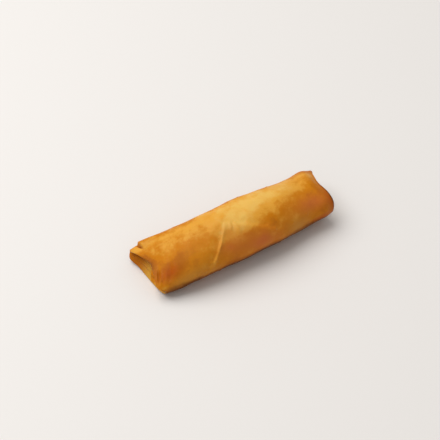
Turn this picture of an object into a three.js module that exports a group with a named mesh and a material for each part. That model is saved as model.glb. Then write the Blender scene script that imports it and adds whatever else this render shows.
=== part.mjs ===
// Fried spring roll: a square wrapper rolled round its filling and deep fried, lying on its side.
// The wrapper's last corner is glued down as a triangular flap, and both ends are pressed flat and
// folded in, so that each end is a shallow mouth between an upper and a lower lip.
//
// Millimetres, +Z up, +X along the roll. The origin is the middle of the box's underside.
// Angles go round the roll: 0 is the back (+Y), 90 the top, 180 the front (-Y) and 270 the underside.

import * as THREE from "three";

const DEGREE = Math.PI / 180;
const FULL_TURN = 2 * Math.PI;

// ---- The roll's body ----------------------------------------------------------------------------

const HALF_LENGTH = 52; // middle of the roll to the mean line of a rim
const WRAPPER = 0.7; // half the thickness of the lip that the folded wrapper makes
const PRESSED_FLAT = 0.35; // how much of the round underside the roll's weight has pressed away

// Sections along the roll, from -1 at the left rim to 1 at the right rim. lift is the height of the
// underside and bow how far the middle line strays from straight. An upper or under of 1 makes that
// half of the section an ellipse; less makes it boxier and more makes it leaner at the sides.
const SECTIONS = [
  { at: -1.0, halfWidth: 17.2, halfHeight: 5.5, lift: 0.2, bow: 1.8, upper: 1.05, under: 0.7 },
  { at: -0.72, halfWidth: 17.3, halfHeight: 9.9, lift: 0, bow: -1.2, upper: 1.05, under: 0.9 },
  { at: -0.35, halfWidth: 15.9, halfHeight: 12.7, lift: 0, bow: -3.1, upper: 1.0, under: 1.0 },
  { at: 0.05, halfWidth: 15.7, halfHeight: 13.6, lift: 0, bow: -3.5, upper: 1.0, under: 1.0 },
  { at: 0.42, halfWidth: 15.2, halfHeight: 13.0, lift: 0, bow: -3.0, upper: 1.0, under: 1.0 },
  { at: 0.75, halfWidth: 15.0, halfHeight: 10.8, lift: 0.4, bow: -1.8, upper: 1.0, under: 0.95 },
  { at: 0.9, halfWidth: 15.4, halfHeight: 9.75, lift: 1.5, bow: -1.2, upper: 0.8, under: 0.92 },
  { at: 1.0, halfWidth: 14.7, halfHeight: 7.8, lift: 2.8, bow: -0.8, upper: 0.92, under: 0.9 },
];

// Gentle waves left by rolling and frying: height, distance between crests along the roll, how many
// crests go round it, and where they start.
const WAVES = [
  { height: 0.2, length: 57, crests: 2, start: 35 },
  { height: 0.14, length: 33, crests: -3, start: 120 },
  { height: 0.09, length: 19, crests: 5, start: 230 },
];
const WAVES_START = { none: -0.95, full: -0.6 }; // sine of the angle, so that the underside is smooth
const RELIEF_FADE = 4; // the last stretch before a rim, over which waves and flap die away

// ---- The glued corner of the wrapper ------------------------------------------------------------

// The tip lies on top, left of the middle. The left edge stands up as a bead, the right one is faint,
// and both sink in once they have gone far enough down to be pressed against the underside: they
// stand as far as standsTo from the tip, and at sunkBy they are sinkWidth times as wide. A bead
// dies away from one of the BEAD_ENDS to the other.
const FLAP = { x: -11.4, angle: 99.5, thickness: 0.7, standsTo: 14, sunkBy: 27, sinkWidth: 5 };
const FLAP_LEFT = { angle: 39.4, width: 1.1, bead: 0.55 };
const FLAP_RIGHT = { angle: 59, width: 2.6, bead: 0.11 };
const BEAD_ENDS = { from: 12, by: 21 }; // from the tip
const MEAN_RADIUS = 15; // turns an angle round the roll into a length of wrapper

// ---- The left end's layers and pleats -----------------------------------------------------------

// The outermost layer stops short of the rim at the back. It stands up from the angle low to the
// angle high, and merges into the body over its length. A crevice parts its edge from the tongue
// that the layer below sticks out.
const LAYER = { along: -47.9, height: 1.8, edge: 0.3, length: 15, low: 17, rise: 12, high: 34, fall: 22 };
const CREVICE = { along: -48.3, width: 0.45, angle: 38, spread: 12, depth: 1.3 };

// Pleats where the wrapper is gathered round the front corner. Each is a groove that strays so far
// along the roll over a turn of straysOver degrees.
const PLEATS = { angle: 135, spread: 24, straysOver: 30 };
const PLEAT_LINES = [
  { along: -50.9, depth: 0.6, width: 0.75, strays: -1.6 },
  { along: -48.7, depth: 0.6, width: 0.7, strays: -1.9 },
  { along: -45.4, depth: 0.5, width: 1.2, strays: -2.5 },
];

// ---- The folded ends ----------------------------------------------------------------------------

// reach lists how far the rim stands out at every REACH_STEP degrees, from the back over the top.
// slit is the line in which the mouth closes: its half width, middle, height, how far it arches up in
// the middle, and its depth.
// folds are the edges of the tucked-in layers, at a share of the way from the lip to the slit. They
// gape most at the angle of the gape.
const REACH_STEP = 30;
const LEFT_END = {
  side: -1,
  reach: [1.6, 2.15, 0.5, -1.3, 1.15, 2.5, -0.7, -0.2, 0.2, 0.6, 1.2, 2.9],
  slit: { halfWidth: 12.5, middle: 1.5, height: 7.6, arch: 1.4, depth: 4.2 },
  folds: [{ at: 0.3, depth: 0.9 }, { at: 0.62, depth: 0.9 }],
  gape: { angle: 225, spread: 60, elsewhere: 0.3 },
};
const RIGHT_END = {
  side: 1,
  reach: [4.7, 2.65, 0.4, -1.2, -0.05, 0.15, -0.7, -0.9, -1.1, -1.2, 0.8, 3.4],
  slit: { halfWidth: 10.5, middle: -0.5, height: 11.2, arch: 1.6, depth: 5 },
  folds: [{ at: 0.28, depth: 1.1 }, { at: 0.5, depth: 1.1 }, { at: 0.74, depth: 0.9 }],
  gape: { angle: 300, spread: 60, elsewhere: 0.3 },
};
const SLIT_HALF_HEIGHT = 0.25;
const SLIT_FOLLOWS = 0.6; // share of the rim's reach that the slit has too
const UNDER_LIP = { full: 0.8, steeper: 0.45 }; // under the upper lip the mouth goes in more steeply
const FLUSH = 0.25; // share of the lip by which the mouth starts behind the lower lip
const FLUSH_ENDS = { flush: -0.35, full: 0.4 }; // sine of the angle, from the lower lip to the upper
const FOLD_WIDTH = 0.05; // of the way from the lip to the slit
const FOLD_PUFF = 0.35; // how much of a fold's depth the layer behind it stands up by
const REACH_STARTS = 0.55; // share of the half length past which a rim's reach stretches the body

// ---- Fineness -----------------------------------------------------------------------------------

const POINTS_ROUND = 52;
const LIP_STEPS = 5;
const RIM_RINGS = 5; // between the left rim and the outermost layer's edge
const LAYER_EDGE_RINGS = [-0.9, -0.4, 0, 0.4]; // about the outermost layer's edge, millimetres
const PLEAT_RINGS = 5; // between the outermost layer's edge and the end of the pleats
const PLEATS_END = -43.5;
const LEFT_RINGS = 12; // between the end of the pleats and the flap's left edge
const FLAP_EDGE_RINGS = [-1.1, 0, 1.2]; // about the flap's left edge, millimetres
const RIGHT_RINGS = 38; // between the flap's left edge and the right rim
// Rings lean along the flap's left edge, so that the edge lies on a ring and stays crisp. They lean
// until they are so far from the tip, and straighten between two angles under the roll. The lean
// dies away towards both ends.
const LEAN = { furthest: 26, straightens: 200, straight: 350, leftLength: 36, rightLength: 58 };

// ---- Small helpers ------------------------------------------------------------------------------

function bell(distance, spread) {
  return Math.exp(-((distance / spread) ** 2));
}

// The signed turn from one angle to another, in degrees, from -180 to 180.
function turnFrom(angle, start) {
  return ((((angle - start + 180) % 360) + 360) % 360) - 180;
}

const smooth = THREE.MathUtils.smoothstep;

// ---- Sections -----------------------------------------------------------------------------------

// One measure of SECTIONS at a place along the roll, on a smooth curve through the listed ones.
function measureAt(at, name) {
  const last = SECTIONS.length - 1;
  const slope = (i) => {
    const before = SECTIONS[Math.max(i - 1, 0)];
    const after = SECTIONS[Math.min(i + 1, last)];
    return (after[name] - before[name]) / (after.at - before.at);
  };
  let i = 0;
  while (i < last - 1 && at > SECTIONS[i + 1].at) i += 1;
  const [low, high] = [SECTIONS[i], SECTIONS[i + 1]];
  const gap = high.at - low.at;
  const s = THREE.MathUtils.clamp((at - low.at) / gap, 0, 1);
  const [s2, s3] = [s * s, s * s * s];
  return (
    (2 * s3 - 3 * s2 + 1) * low[name] +
    (s3 - 2 * s2 + s) * gap * slope(i) +
    (3 * s2 - 2 * s3) * high[name] +
    (s3 - s2) * gap * slope(i + 1)
  );
}

function sectionAt(at) {
  const halfHeight = measureAt(at, "halfHeight");
  return {
    halfWidth: measureAt(at, "halfWidth"),
    halfHeight,
    height: measureAt(at, "lift") + halfHeight,
    bow: measureAt(at, "bow"),
    upper: measureAt(at, "upper"),
    under: measureAt(at, "under"),
  };
}

// The point of a section's outline at an angle, x left for the caller.
function outlinePoint(section, angle) {
  const [c, s] = [Math.cos(angle * DEGREE), Math.sin(angle * DEGREE)];
  const rise = s > 0 ? s ** section.upper : -((-s) ** section.under);
  return new THREE.Vector3(
    0,
    section.bow + section.halfWidth * c,
    section.height + section.halfHeight * rise,
  );
}

// The direction straight out of a section's outline at an angle.
function outward(section, angle) {
  return new THREE.Vector3(
    0,
    section.halfHeight * Math.cos(angle * DEGREE),
    section.halfWidth * Math.sin(angle * DEGREE),
  ).normalize();
}

// ---- Relief on the body -------------------------------------------------------------------------

// The corner flap: one more layer of wrapper, thinning to nothing once it has gone round the roll.
function flapRelief(x, angle) {
  const round = FULL_TURN * MEAN_RADIUS;
  const turned = (((angle - FLAP.angle) % 360) + 360) % 360;
  const fromTip = (turned / 360) * round;
  const inFrom = (edge, gap) =>
    (fromTip * Math.tan(edge.angle * DEGREE) - gap) * Math.cos(edge.angle * DEGREE);
  const left = inFrom(FLAP_LEFT, FLAP.x - x);
  const right = inFrom(FLAP_RIGHT, x - FLAP.x);
  const [edge, inside] = left < right ? [FLAP_LEFT, left] : [FLAP_RIGHT, right];
  const sunk = smooth(fromTip, FLAP.standsTo, FLAP.sunkBy);
  const width = edge.width * (1 + (FLAP.sinkWidth - 1) * sunk);
  const thinning = 1 - fromTip / round;
  const step = FLAP.thickness * smooth(inside, -width / 2, width / 2);
  const beaded = 1 - smooth(fromTip, BEAD_ENDS.from, BEAD_ENDS.by);
  const bead = edge.bead * beaded * bell(inside - width / 3, width);
  return (step + bead) * thinning;
}

// The outermost layer at the back of the left end, with the crevice at its edge.
function layerRelief(along, angle) {
  const from = along - LAYER.along;
  const edge = smooth(from, -LAYER.edge, LAYER.edge);
  const lengthwise = edge * (1 - smooth(from, LAYER.edge, LAYER.length));
  const comesUp = smooth(angle, LAYER.low, LAYER.low + LAYER.rise);
  const diesAway = smooth(angle, LAYER.high, LAYER.high + LAYER.fall);
  const crevice =
    bell(along - CREVICE.along, CREVICE.width) *
    bell(turnFrom(angle, CREVICE.angle), CREVICE.spread);
  return LAYER.height * lengthwise * comesUp * (1 - diesAway) - CREVICE.depth * crevice;
}

// The grooves of the pleats at the left end's front corner.
function pleatRelief(along, angle) {
  const turn = turnFrom(angle, PLEATS.angle);
  const grooves = PLEAT_LINES.reduce((sum, pleat) => {
    const away = along - pleat.along - (pleat.strays * turn) / PLEATS.straysOver;
    return sum + pleat.depth * bell(away, pleat.width);
  }, 0);
  return -grooves * bell(turn, PLEATS.spread);
}

function waveRelief(x, angle) {
  const offTheFloor = smooth(Math.sin(angle * DEGREE), WAVES_START.none, WAVES_START.full);
  const phase = (wave) => (x / wave.length) * 360 + wave.crests * angle + wave.start;
  const waves = WAVES.map((wave) => wave.height * Math.sin(phase(wave) * DEGREE));
  return offTheFloor * waves.reduce((sum, height) => sum + height, 0);
}

// ---- The surface --------------------------------------------------------------------------------

// How far a rim stands out at an angle, on a smooth closed curve through the end's listed reaches.
function rimReach(end, angle) {
  const count = end.reach.length;
  const place = angle / REACH_STEP;
  const i = Math.floor(place);
  const s = place - i;
  const [before, low, high, after] = [-1, 0, 1, 2].map((step) => end.reach[(i + step + count) % count]);
  const square = 2 * before - 5 * low + 4 * high - after;
  const cube = 3 * (low - high) + after - before;
  return low + (s / 2) * (high - before + s * (square + s * cube));
}

// How far a ring's point is shifted along the roll, to lean with the flap's left edge.
function lean(along, angle) {
  const fromTip = (angle - FLAP.angle) * DEGREE * MEAN_RADIUS;
  const goingDown = THREE.MathUtils.clamp(fromTip, 0, LEAN.furthest);
  const slant = Math.tan(FLAP_LEFT.angle * DEGREE) * goingDown;
  const straightened = smooth(angle, LEAN.straightens, LEAN.straight);
  const away = along - FLAP.x;
  const share = away < 0 ? -away / LEAN.leftLength : away / LEAN.rightLength;
  return -slant * (1 - straightened) * Math.max(1 - share, 0);
}

function bodyPoint(along, angle) {
  const straightLength = HALF_LENGTH - WRAPPER;
  const leaned = along + lean(along, angle);
  const at = leaned / straightLength;
  const section = sectionAt(at);
  const end = at < 0 ? LEFT_END : RIGHT_END;
  const stretch = Math.max((Math.abs(at) - REACH_STARTS) / (1 - REACH_STARTS), 0) ** 2;
  const x = leaned + end.side * rimReach(end, angle) * stretch;
  const fromRim = straightLength - Math.abs(leaned);
  const relief =
    (flapRelief(x, angle) + waveRelief(x, angle)) * smooth(fromRim, 0, RELIEF_FADE) +
    (layerRelief(leaned, angle) + pleatRelief(leaned, angle)) * smooth(fromRim, 0, WRAPPER);
  const point = outlinePoint(section, angle);
  point.addScaledVector(outward(section, angle), relief);
  point.x = x;
  return point;
}

// The share of the lip's depth that its inner side has: all of it on top, less on the lower lip.
function lipShare(angle) {
  return FLUSH + (1 - FLUSH) * smooth(Math.sin(angle * DEGREE), FLUSH_ENDS.flush, FLUSH_ENDS.full);
}

// The rounded lip, from its inner side at turn 0 to its outer side at turn 1.
function lipPoint(end, turn, angle) {
  const section = sectionAt(end.side);
  const inset = WRAPPER * (1 + Math.cos(turn * Math.PI));
  section.halfWidth -= inset;
  section.halfHeight -= inset;
  const point = outlinePoint(section, angle);
  const share = turn < 0.5 ? lipShare(angle) : 1;
  const forward = WRAPPER * share * (Math.sin(turn * Math.PI) - 1);
  point.x = end.side * (HALF_LENGTH + rimReach(end, angle) + forward);
  return point;
}

// The mouth, from the lip's inner side at inward 0 to the slit at inward 1. Under the upper lip it
// goes straight in, and on the lower lip it slopes, with the edges of the tucked-in layers across it.
function mouthPoint(end, inward, angle) {
  const rim = sectionAt(end.side);
  const blend = (from, to) => from + (to - from) * inward;
  const section = {
    halfWidth: blend(rim.halfWidth - 2 * WRAPPER, end.slit.halfWidth),
    halfHeight: blend(rim.halfHeight - 2 * WRAPPER, SLIT_HALF_HEIGHT),
    height: blend(rim.height, end.slit.height),
    bow: blend(rim.bow, end.slit.middle),
    upper: blend(rim.upper, 1),
    under: blend(rim.under, 1),
  };
  const sine = Math.sin(angle * DEGREE);
  const underTop = smooth(sine, 0, UNDER_LIP.full);
  const slope = inward ** (1 - UNDER_LIP.steeper * underTop);
  const { angle: middle, spread, elsewhere } = end.gape;
  const gape = elsewhere + (1 - elsewhere) * bell(turnFrom(angle, middle), spread);
  const groove = end.folds.reduce((sum, fold) => {
    const gap = bell(inward - fold.at, FOLD_WIDTH / 2);
    const puff = bell(inward - fold.at - 2 * FOLD_WIDTH, FOLD_WIDTH);
    return sum + fold.depth * (gap - FOLD_PUFF * puff);
  }, 0);
  const start = WRAPPER * lipShare(angle);
  const depth = start + (end.slit.depth - start) * slope + groove * gape;
  const point = outlinePoint(section, angle);
  point.z += end.slit.arch * inward * sine ** 2;
  const reach = rimReach(end, angle) * blend(1, SLIT_FOLLOWS);
  point.x = end.side * (HALF_LENGTH + reach - depth);
  return point;
}

// ---- Rings --------------------------------------------------------------------------------------

function ring(pointAt) {
  return Array.from({ length: POINTS_ROUND }, (_, i) => pointAt((360 * i) / POINTS_ROUND));
}

// An end's rings from the slit outwards.
function endRings(end) {
  const inwards = [1];
  for (const fold of [...end.folds].reverse()) {
    for (const step of [2, 1, 0, -1]) inwards.push(fold.at + step * FOLD_WIDTH);
  }
  inwards.push(0);
  const mouth = inwards.map((inward) => ring((angle) => mouthPoint(end, inward, angle)));
  const lip = [];
  for (let i = 1; i < LIP_STEPS; i += 1) {
    lip.push(ring((angle) => lipPoint(end, i / LIP_STEPS, angle)));
  }
  return [...mouth, ...lip];
}

function bodyRings() {
  const rim = HALF_LENGTH - WRAPPER;
  const layerEdge = LAYER_EDGE_RINGS.map((offset) => LAYER.along + offset);
  const flapEdge = FLAP_EDGE_RINGS.map((offset) => FLAP.x + offset);
  const between = (from, to, count) =>
    Array.from({ length: count }, (_, i) => from + ((to - from) * (i + 1)) / (count + 1));
  const places = [
    -rim,
    ...between(-rim, layerEdge[0], RIM_RINGS),
    ...layerEdge,
    ...between(layerEdge.at(-1), PLEATS_END, PLEAT_RINGS),
    PLEATS_END,
    ...between(PLEATS_END, flapEdge[0], LEFT_RINGS),
    ...flapEdge,
    ...between(flapEdge.at(-1), rim, RIGHT_RINGS),
    rim,
  ];
  return places.map((along) => ring((angle) => bodyPoint(along, angle)));
}

// ---- One closed skin ----------------------------------------------------------------------------

// Joins rings that go from the left slit over the body to the right slit, and zips both slits shut.
// Each four-sided face is cut along its shorter diagonal.
function skin(rings) {
  const count = POINTS_ROUND;
  const points = rings.flat();
  const positions = points.flatMap((p) => [p.x, p.y, Math.max(p.z - PRESSED_FLAT, 0)]);
  const faces = [];
  for (let r = 0; r < rings.length - 1; r += 1) {
    for (let i = 0; i < count; i += 1) {
      const [a, b] = [r * count + i, r * count + ((i + 1) % count)];
      const [c, d] = [a + count, b + count];
      const acrossAD = points[a].distanceTo(points[d]);
      const acrossBC = points[b].distanceTo(points[c]);
      faces.push(...(acrossAD <= acrossBC ? [a, b, d, a, d, c] : [a, b, c, b, d, c]));
    }
  }
  const zip = (first, flip) => {
    for (let i = 0; i < count / 2; i += 1) {
      const [upper, upperNext] = [first + i, first + i + 1];
      const [lower, lowerNext] = [first + ((count - i) % count), first + count - i - 1];
      const triangles = [[upper, lower, upperNext], [upperNext, lower, lowerNext]];
      for (const [a, b, c] of triangles) {
        if (a === b || b === c || a === c) continue;
        faces.push(...(flip ? [a, c, b] : [a, b, c]));
      }
    }
  };
  zip(0, false);
  zip((rings.length - 1) * count, true);
  const geometry = new THREE.BufferGeometry();
  geometry.setAttribute("position", new THREE.Float32BufferAttribute(positions, 3));
  geometry.setIndex(faces);
  return geometry;
}

// ---- The roll -----------------------------------------------------------------------------------

function springRoll() {
  const rings = [...endRings(LEFT_END), ...bodyRings(), ...endRings(RIGHT_END).reverse()];
  const geometry = skin(rings);
  geometry.computeBoundingBox();
  const middle = geometry.boundingBox.getCenter(new THREE.Vector3());
  geometry.translate(-middle.x, -middle.y, 0);
  geometry.computeVertexNormals();
  const crust = new THREE.MeshStandardMaterial({ color: 0xd98f3c, roughness: 0.45, metalness: 0 });
  const roll = new THREE.Mesh(geometry, crust);
  roll.name = "spring_roll";
  return roll;
}

const group = new THREE.Group();
group.add(springRoll());

export default group;
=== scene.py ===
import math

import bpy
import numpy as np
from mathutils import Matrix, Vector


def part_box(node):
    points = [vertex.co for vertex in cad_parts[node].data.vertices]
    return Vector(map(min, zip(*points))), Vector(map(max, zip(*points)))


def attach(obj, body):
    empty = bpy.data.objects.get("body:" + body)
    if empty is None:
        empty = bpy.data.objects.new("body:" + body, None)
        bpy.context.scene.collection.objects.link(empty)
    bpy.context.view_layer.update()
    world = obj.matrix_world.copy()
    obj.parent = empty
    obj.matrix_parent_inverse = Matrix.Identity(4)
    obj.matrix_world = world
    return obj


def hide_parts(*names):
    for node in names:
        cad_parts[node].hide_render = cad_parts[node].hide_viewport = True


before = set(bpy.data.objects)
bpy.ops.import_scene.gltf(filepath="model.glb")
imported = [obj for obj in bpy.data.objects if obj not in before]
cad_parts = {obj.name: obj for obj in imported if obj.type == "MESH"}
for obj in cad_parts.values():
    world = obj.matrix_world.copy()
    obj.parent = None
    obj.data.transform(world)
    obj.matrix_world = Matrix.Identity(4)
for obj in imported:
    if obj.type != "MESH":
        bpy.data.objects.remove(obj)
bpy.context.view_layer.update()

# Fried spring roll, laid out as a Blender add-on and run as a script. The wrapper is one skin, lofted
# through rings from the mouth at one end to the mouth at the other, and Geometry Nodes raise the fry
# blisters on it. Lengths in the form's own tables are millimetres, and everything built is in metres.
# Angles go round the roll: 0 is the back (+Y), 90 the top, 180 the front (-Y) and 270 the underside.

bl_info = {
    "name": "Fried Spring Roll",
    "version": (1, 0, 0),
    "blender": (4, 5, 0),
    "location": "View3D > Sidebar > Spring Roll",
    "description": "Builds a deep-fried spring roll with a glued flap and a blistered crust",
    "category": "Add Mesh",
}

NODE = "spring_roll"
MM = 0.001

# ---- The roll's form, in millimetres and degrees ----

# Sections along the roll, from -1 at the left rim to 1 at the right rim: half width, half height,
# height of the underside, how far the middle line strays from straight, and how boxy (under 1) or
# lean (over 1) the upper and the under half of the section are.
MEASURES = ("half_width", "half_height", "lift", "bow", "upper", "under")
SECTIONS = {
    -1.0: (17.2, 5.5, 0.2, 1.8, 1.05, 0.7),
    -0.72: (17.3, 9.9, 0.0, -1.2, 1.05, 0.9),
    -0.35: (15.9, 12.7, 0.0, -3.1, 1.0, 1.0),
    0.05: (15.7, 13.6, 0.0, -3.5, 1.0, 1.0),
    0.42: (15.2, 13.0, 0.0, -3.0, 1.0, 1.0),
    0.75: (15.0, 10.8, 0.4, -1.8, 1.0, 0.95),
    0.9: (15.4, 9.75, 1.5, -1.2, 0.8, 0.92),
    1.0: (14.7, 7.8, 2.8, -0.8, 0.92, 0.9),
}

# Gentle waves: height, distance between crests, how many crests go round, and where they start.
WAVES = ((0.2, 57, 2, 35), (0.14, 33, -3, 120), (0.09, 19, 5, 230))
WAVES_START = (-0.95, -0.6)  # sine of the angle, so that the underside is smooth
RELIEF_FADE = 4  # the last stretch before a rim, over which waves and flap die away

# The glued corner of the wrapper: its tip, how far from the tip it stands, where it has sunk in, and
# how much wider its edges' steps are there. Its edges: the slant, the step's width, the bead's share.
FLAP = {"x": -11.4, "angle": 99.5, "stands_to": 14, "sunk_by": 27, "sink_width": 5}
FLAP_LEFT = {"angle": 39.4, "width": 1.1, "bead": 1.0}
FLAP_RIGHT = {"angle": 59, "width": 2.6, "bead": 0.2}
FLAP_RIPPLE = {"share": 0.35, "length": 6.3, "start": -150}  # the bead's unevenness down the edge
BEAD_STARTS = (1, 8)  # how far from the tip the bead starts to come up, and stands in full
BEAD_ENDS = (12, 21)  # and starts to sink in, and has
BEAD_INSIDE = 1 / 3  # of an edge's width, from the edge to the crest of its bead
TIP = {"share": 0.4, "full": 7}  # share of the flap's thickness at the tip, and where it has all of it
MEAN_RADIUS = 15  # turns an angle round the roll into a length of wrapper

# The outermost layer at the back of the left end: where its edge lies, the angles from which it comes
# up and dies away and over how many, and the length in which it gets level with the rest. Then the
# crevice between its edge and the tongue that the layer below sticks out.
LAYER = {"along": -47.9, "low": 17, "high": 34, "rise": 12, "fall": 22, "length": 15, "edge": 0.3}
CREVICE = {"along": -48.3, "width": 0.45, "angle": 38, "spread": 12, "depth": 1.3}

# Pleats where the wrapper is gathered round the left end's front corner: how far along each lies at
# the angle where they meet, its depth and width, how far it strays along the roll over PLEATS_STRAY
# degrees, and the angles of its middle and from there to its ends.
PLEATS_MEET = 135
PLEATS_STRAY = 30
PLEAT_LINES = (
    (-50.4, 0.85, 0.7, -1.6, 124, 13),
    (-48.7, 0.45, 0.7, -1.9, 145, 18),
    (-45.4, 0.55, 1.2, -2.5, 135, 24),
)
PLEAT_SHADE = 0.3  # how much of the crevice's painted shade a pleat as deep as 1 mm takes

# Small folds that fan out below the flap's tip: place along the roll at the tip, how far it strays in
# FAN_STRAYS degrees down from there, the degrees between which it stands, height and width.
FAN_STRAYS = 10
FAN_RISE = 5  # degrees over which a fold comes up
FAN_FALL = 8  # and dies away
FAN = (
    (-8.2, 0.9, 0, 24, 0.3, 0.75),
    (-7.3, 1.2, 6, 26, -0.25, 0.7),
    (-7.0, 1.95, 6, 36, 0.35, 0.8),
    (3.4, 2.43, 38, 85, 0.3, 1.0),
)
# Dents and bumps in the crust next to the flap: x, angle, depth and radius.
DENTS = (
    (-14.9, 104, 0.35, 1.3),
    (-20.6, 94, 0.3, 1.3),
    (-1.4, 113, 0.25, 1.4),
    (-12.2, 91, -0.2, 1.2),
)

# The folded ends: how far each rim stands out at every REACH_STEP degrees, the slit in which the
# mouth closes, and the edges of the tucked-in layers (share of the way in, depth).
REACH_STEP = 30
LEFT_END = {
    "side": -1,
    "reach": (1.6, 2.15, 0.5, -1.3, 1.15, 2.5, -0.7, -0.2, 0.2, 0.6, 1.2, 2.9),
    "slit": {"half_width": 12.5, "middle": 1.5, "height": 7.6, "arch": 1.4, "depth": 4.2},
    "folds": ((0.3, 0.9), (0.62, 0.9)),
    "gape": {"angle": 225, "spread": 60, "elsewhere": 0.3},
}
RIGHT_END = {
    "side": 1,
    "reach": (4.7, 2.65, 0.4, -1.2, -0.05, 0.15, -0.7, -0.9, -1.1, -1.2, 0.8, 3.4),
    "slit": {"half_width": 10.5, "middle": -0.5, "height": 11.2, "arch": 1.6, "depth": 5},
    "folds": ((0.28, 1.1), (0.5, 1.1), (0.74, 0.9)),
    "gape": {"angle": 300, "spread": 60, "elsewhere": 0.3},
}
SLIT_HALF_HEIGHT = 0.25
# In the left mouth the front corner's layer lies over the tucked-in one: the angle of its edge at the
# lip, how far that strays on the way in, the edge's width, the depth of the crease beside it and the
# layer's own height. From length on the layer is level with the rest, and at end its colour is too.
OVERLAP = {"angle": 259, "strays": 22, "width": 3.5, "crease": 0.5, "height": 0.5, "length": 45, "end": 90}
OVERLAP_STARTS = (0, 0.06)  # share of the way in over which the layer's edge comes up
OVERLAP_ENDS = (0.7, 0.95)  # and dies away
SLIT_FOLLOWS = 0.6  # share of the rim's reach that the slit has too
UNDER_LIP = {"full": 0.8, "steeper": 0.45}  # under the upper lip the mouth goes in more steeply
FLUSH = 0.25  # share of the lip by which the mouth starts behind the lower lip
FLUSH_ENDS = (-0.35, 0.4)  # sine of the angle, from the lower lip to the upper
FOLD_WIDTH = 0.05  # of the way from the lip to the slit
FOLD_PUFF = 0.35  # how much of a fold's depth the layer behind it stands up by
PUFF_BEHIND = 2  # fold widths from a fold to the crest of that layer
REACH_STARTS = 0.55  # share of the half length past which a rim's reach stretches the body

# Rings lean along the flap's left edge, so that the edge lies on a ring and stays crisp: how far down
# they lean, the angles between which they come back, and how far to each side they lean at all.
LEAN = {"furthest": 26, "straightens": 200, "straight": 350, "left_length": 36, "right_length": 58}


# ---- How brown the crust is, with painted highlight and shade ----

# Browning runs from 0, pale, over golden, amber and russet to dark. This is how brown the top is, how
# much browner the sides are, and how far from the top's angle the one ends and the other starts.
BROWNING = {"top": 0.42, "sides": 0.26, "top_angle": 75, "top_ends": 10, "sides_start": 48}
# Patches: x, angle, half length, half width in degrees, and how much browner than the rest. Some stand for
# painted highlight or shade, as marked.
PATCHES = {
    # Painted highlight: the soft light's broad gloss across the top, laid in as paler crust.
    "highlight on the top": (8, 84, 21, 28, -0.42),
    "pale under the tip": (-4, 116, 11, 17, -0.34),
    "brown left corner": (-44, 130, 8, 22, 0.4),
    "brown left top": (-36, 106, 11, 14, 0.05),
    # Painted shade, not scorching: these four darken the underside where it turns toward the floor and
    # meets it.
    "shade on the left underside": (-44, 189, 18, 15, 0.85),
    "shade on the left corner": (-45, 172, 5, 8, 0.3),
    "shade on the middle underside": (1, 206, 11, 13, 0.35),
    "shade along the lower edge": (8, 205, 42, 13, 0.32),
    "light under the tip": (-14, 114, 5, 14, -0.24),
    # Painted shade where the upper lip rolls over into the left mouth.
    "shade on the left lip": (-51.5, 98, 3, 16, 0.3),
    "light left corner": (-53, 150, 1.8, 22, -0.3),
    "light front layer": (-53, 238, 3, 22, -0.45),
    "light chin": (-51, 161, 2.5, 7, -0.3),
    # Painted highlight on the flap edge's flank that faces the light.
    "highlight on the flap edge": (-15.9, 115, 1.1, 4, -0.35),
    "golden beside the tip": (-13, 121, 3.5, 9, 0.14),
    "light beside the pleats": (-50, 110, 2.5, 7, -0.2),
    # Painted highlight on the lit tip of the tongue.
    "highlight on the tongue": (-52, 38, 4, 16, -0.4),
    "right ear": (50, 92, 5, 16, 0.16),
    "browned right rim": (54.5, 115, 2.5, 55, 0.9),
    "left top": (-35, 77, 14, 20, 0.14),
    "pale right spot": (18, 117, 5, 10, -0.1),
    "pale middle": (-3, 129, 8, 8, -0.26),
    # Painted shade, not scorching, where the underside meets the floor.
    "shade on the right underside": (33, 190, 11, 9, 0.4),
    "right corner": (50, 155, 6, 26, 0.2),
    "right side": (42, 118, 7, 14, 0.1),
    "right top": (43, 87, 4, 12, 0.15),
    "brown streak": (14, 146, 7, 8, 0.1),
    "light right streak": (26, 147, 12, 7, -0.1),
    "brown right top": (28, 103, 14, 9, 0.17),
    "right end": (43, 108, 5, 40, 0.08),
    "light left spot": (-26, 152, 8, 9, -0.06),
    "left side": (-36, 136, 10, 13, 0.1),
    "light right spot": (28, 152, 6, 8, -0.1),
    "brown back": (24, 8, 18, 26, 0.2),
    "browner back": (-18, -4, 14, 24, 0.16),
    "light back": (2, 340, 20, 20, -0.1),
}

# Patches that fried redder, duller or a deep roasted red: x, angle, half length, half width in
# degrees, and strength.
RUDDY = {
    "right side": (38, 134, 14, 22, 0.7),
    "middle": (2, 166, 12, 25, 0.85),
    "beside the flap": (-11.5, 144, 8, 17, 0.85),
    "foot of the flap": (-12, 122, 3, 8, 0.5),
}
OLIVE = {
    "lower left": (-39, 168, 11, 18, 1.0),
    "under the flap": (-27, 184, 6, 7, 0.8),
    "left side": (-28, 132, 16, 26, 0.25),
    "lower right": (27, 176, 7, 20, 1.0),
    "tip": (-14, 116, 5, 13, 0.5),
}
ROASTED = {
    "left corner": (-46, 131, 5, 13, 0.9),
    "right rim": (52, 142, 4, 42, 0.9),
    "right underside": (43, 187, 6, 12, 0.9),
}
BEAD_HIGHLIGHT = 0.2  # how much paler the flap's raised edge is: a painted highlight where it catches the light

# The rims' thin edges are browner: the left one's on top, where it is also painted shade as the lip rolls
# over into the mouth, and the right one's down the front.
LEFT_EDGE_BROWN_AND_SHADE = {"width": 2.2, "browner": 0.5, "angle": 92, "spread": 22}
RIGHT_EDGE = {"width": 1.0, "browner": 0.5, "from": 68, "full": 95}

# ---- Settings ----

def number(name, description, default, **kind):
    """A setting that is a number."""
    return bpy.props.FloatProperty(name=name, description=description, default=default, **kind)


def length(name, description, default):
    """A setting in metres."""
    return number(name, description, default, unit="LENGTH", subtype="DISTANCE", precision=5)


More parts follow.
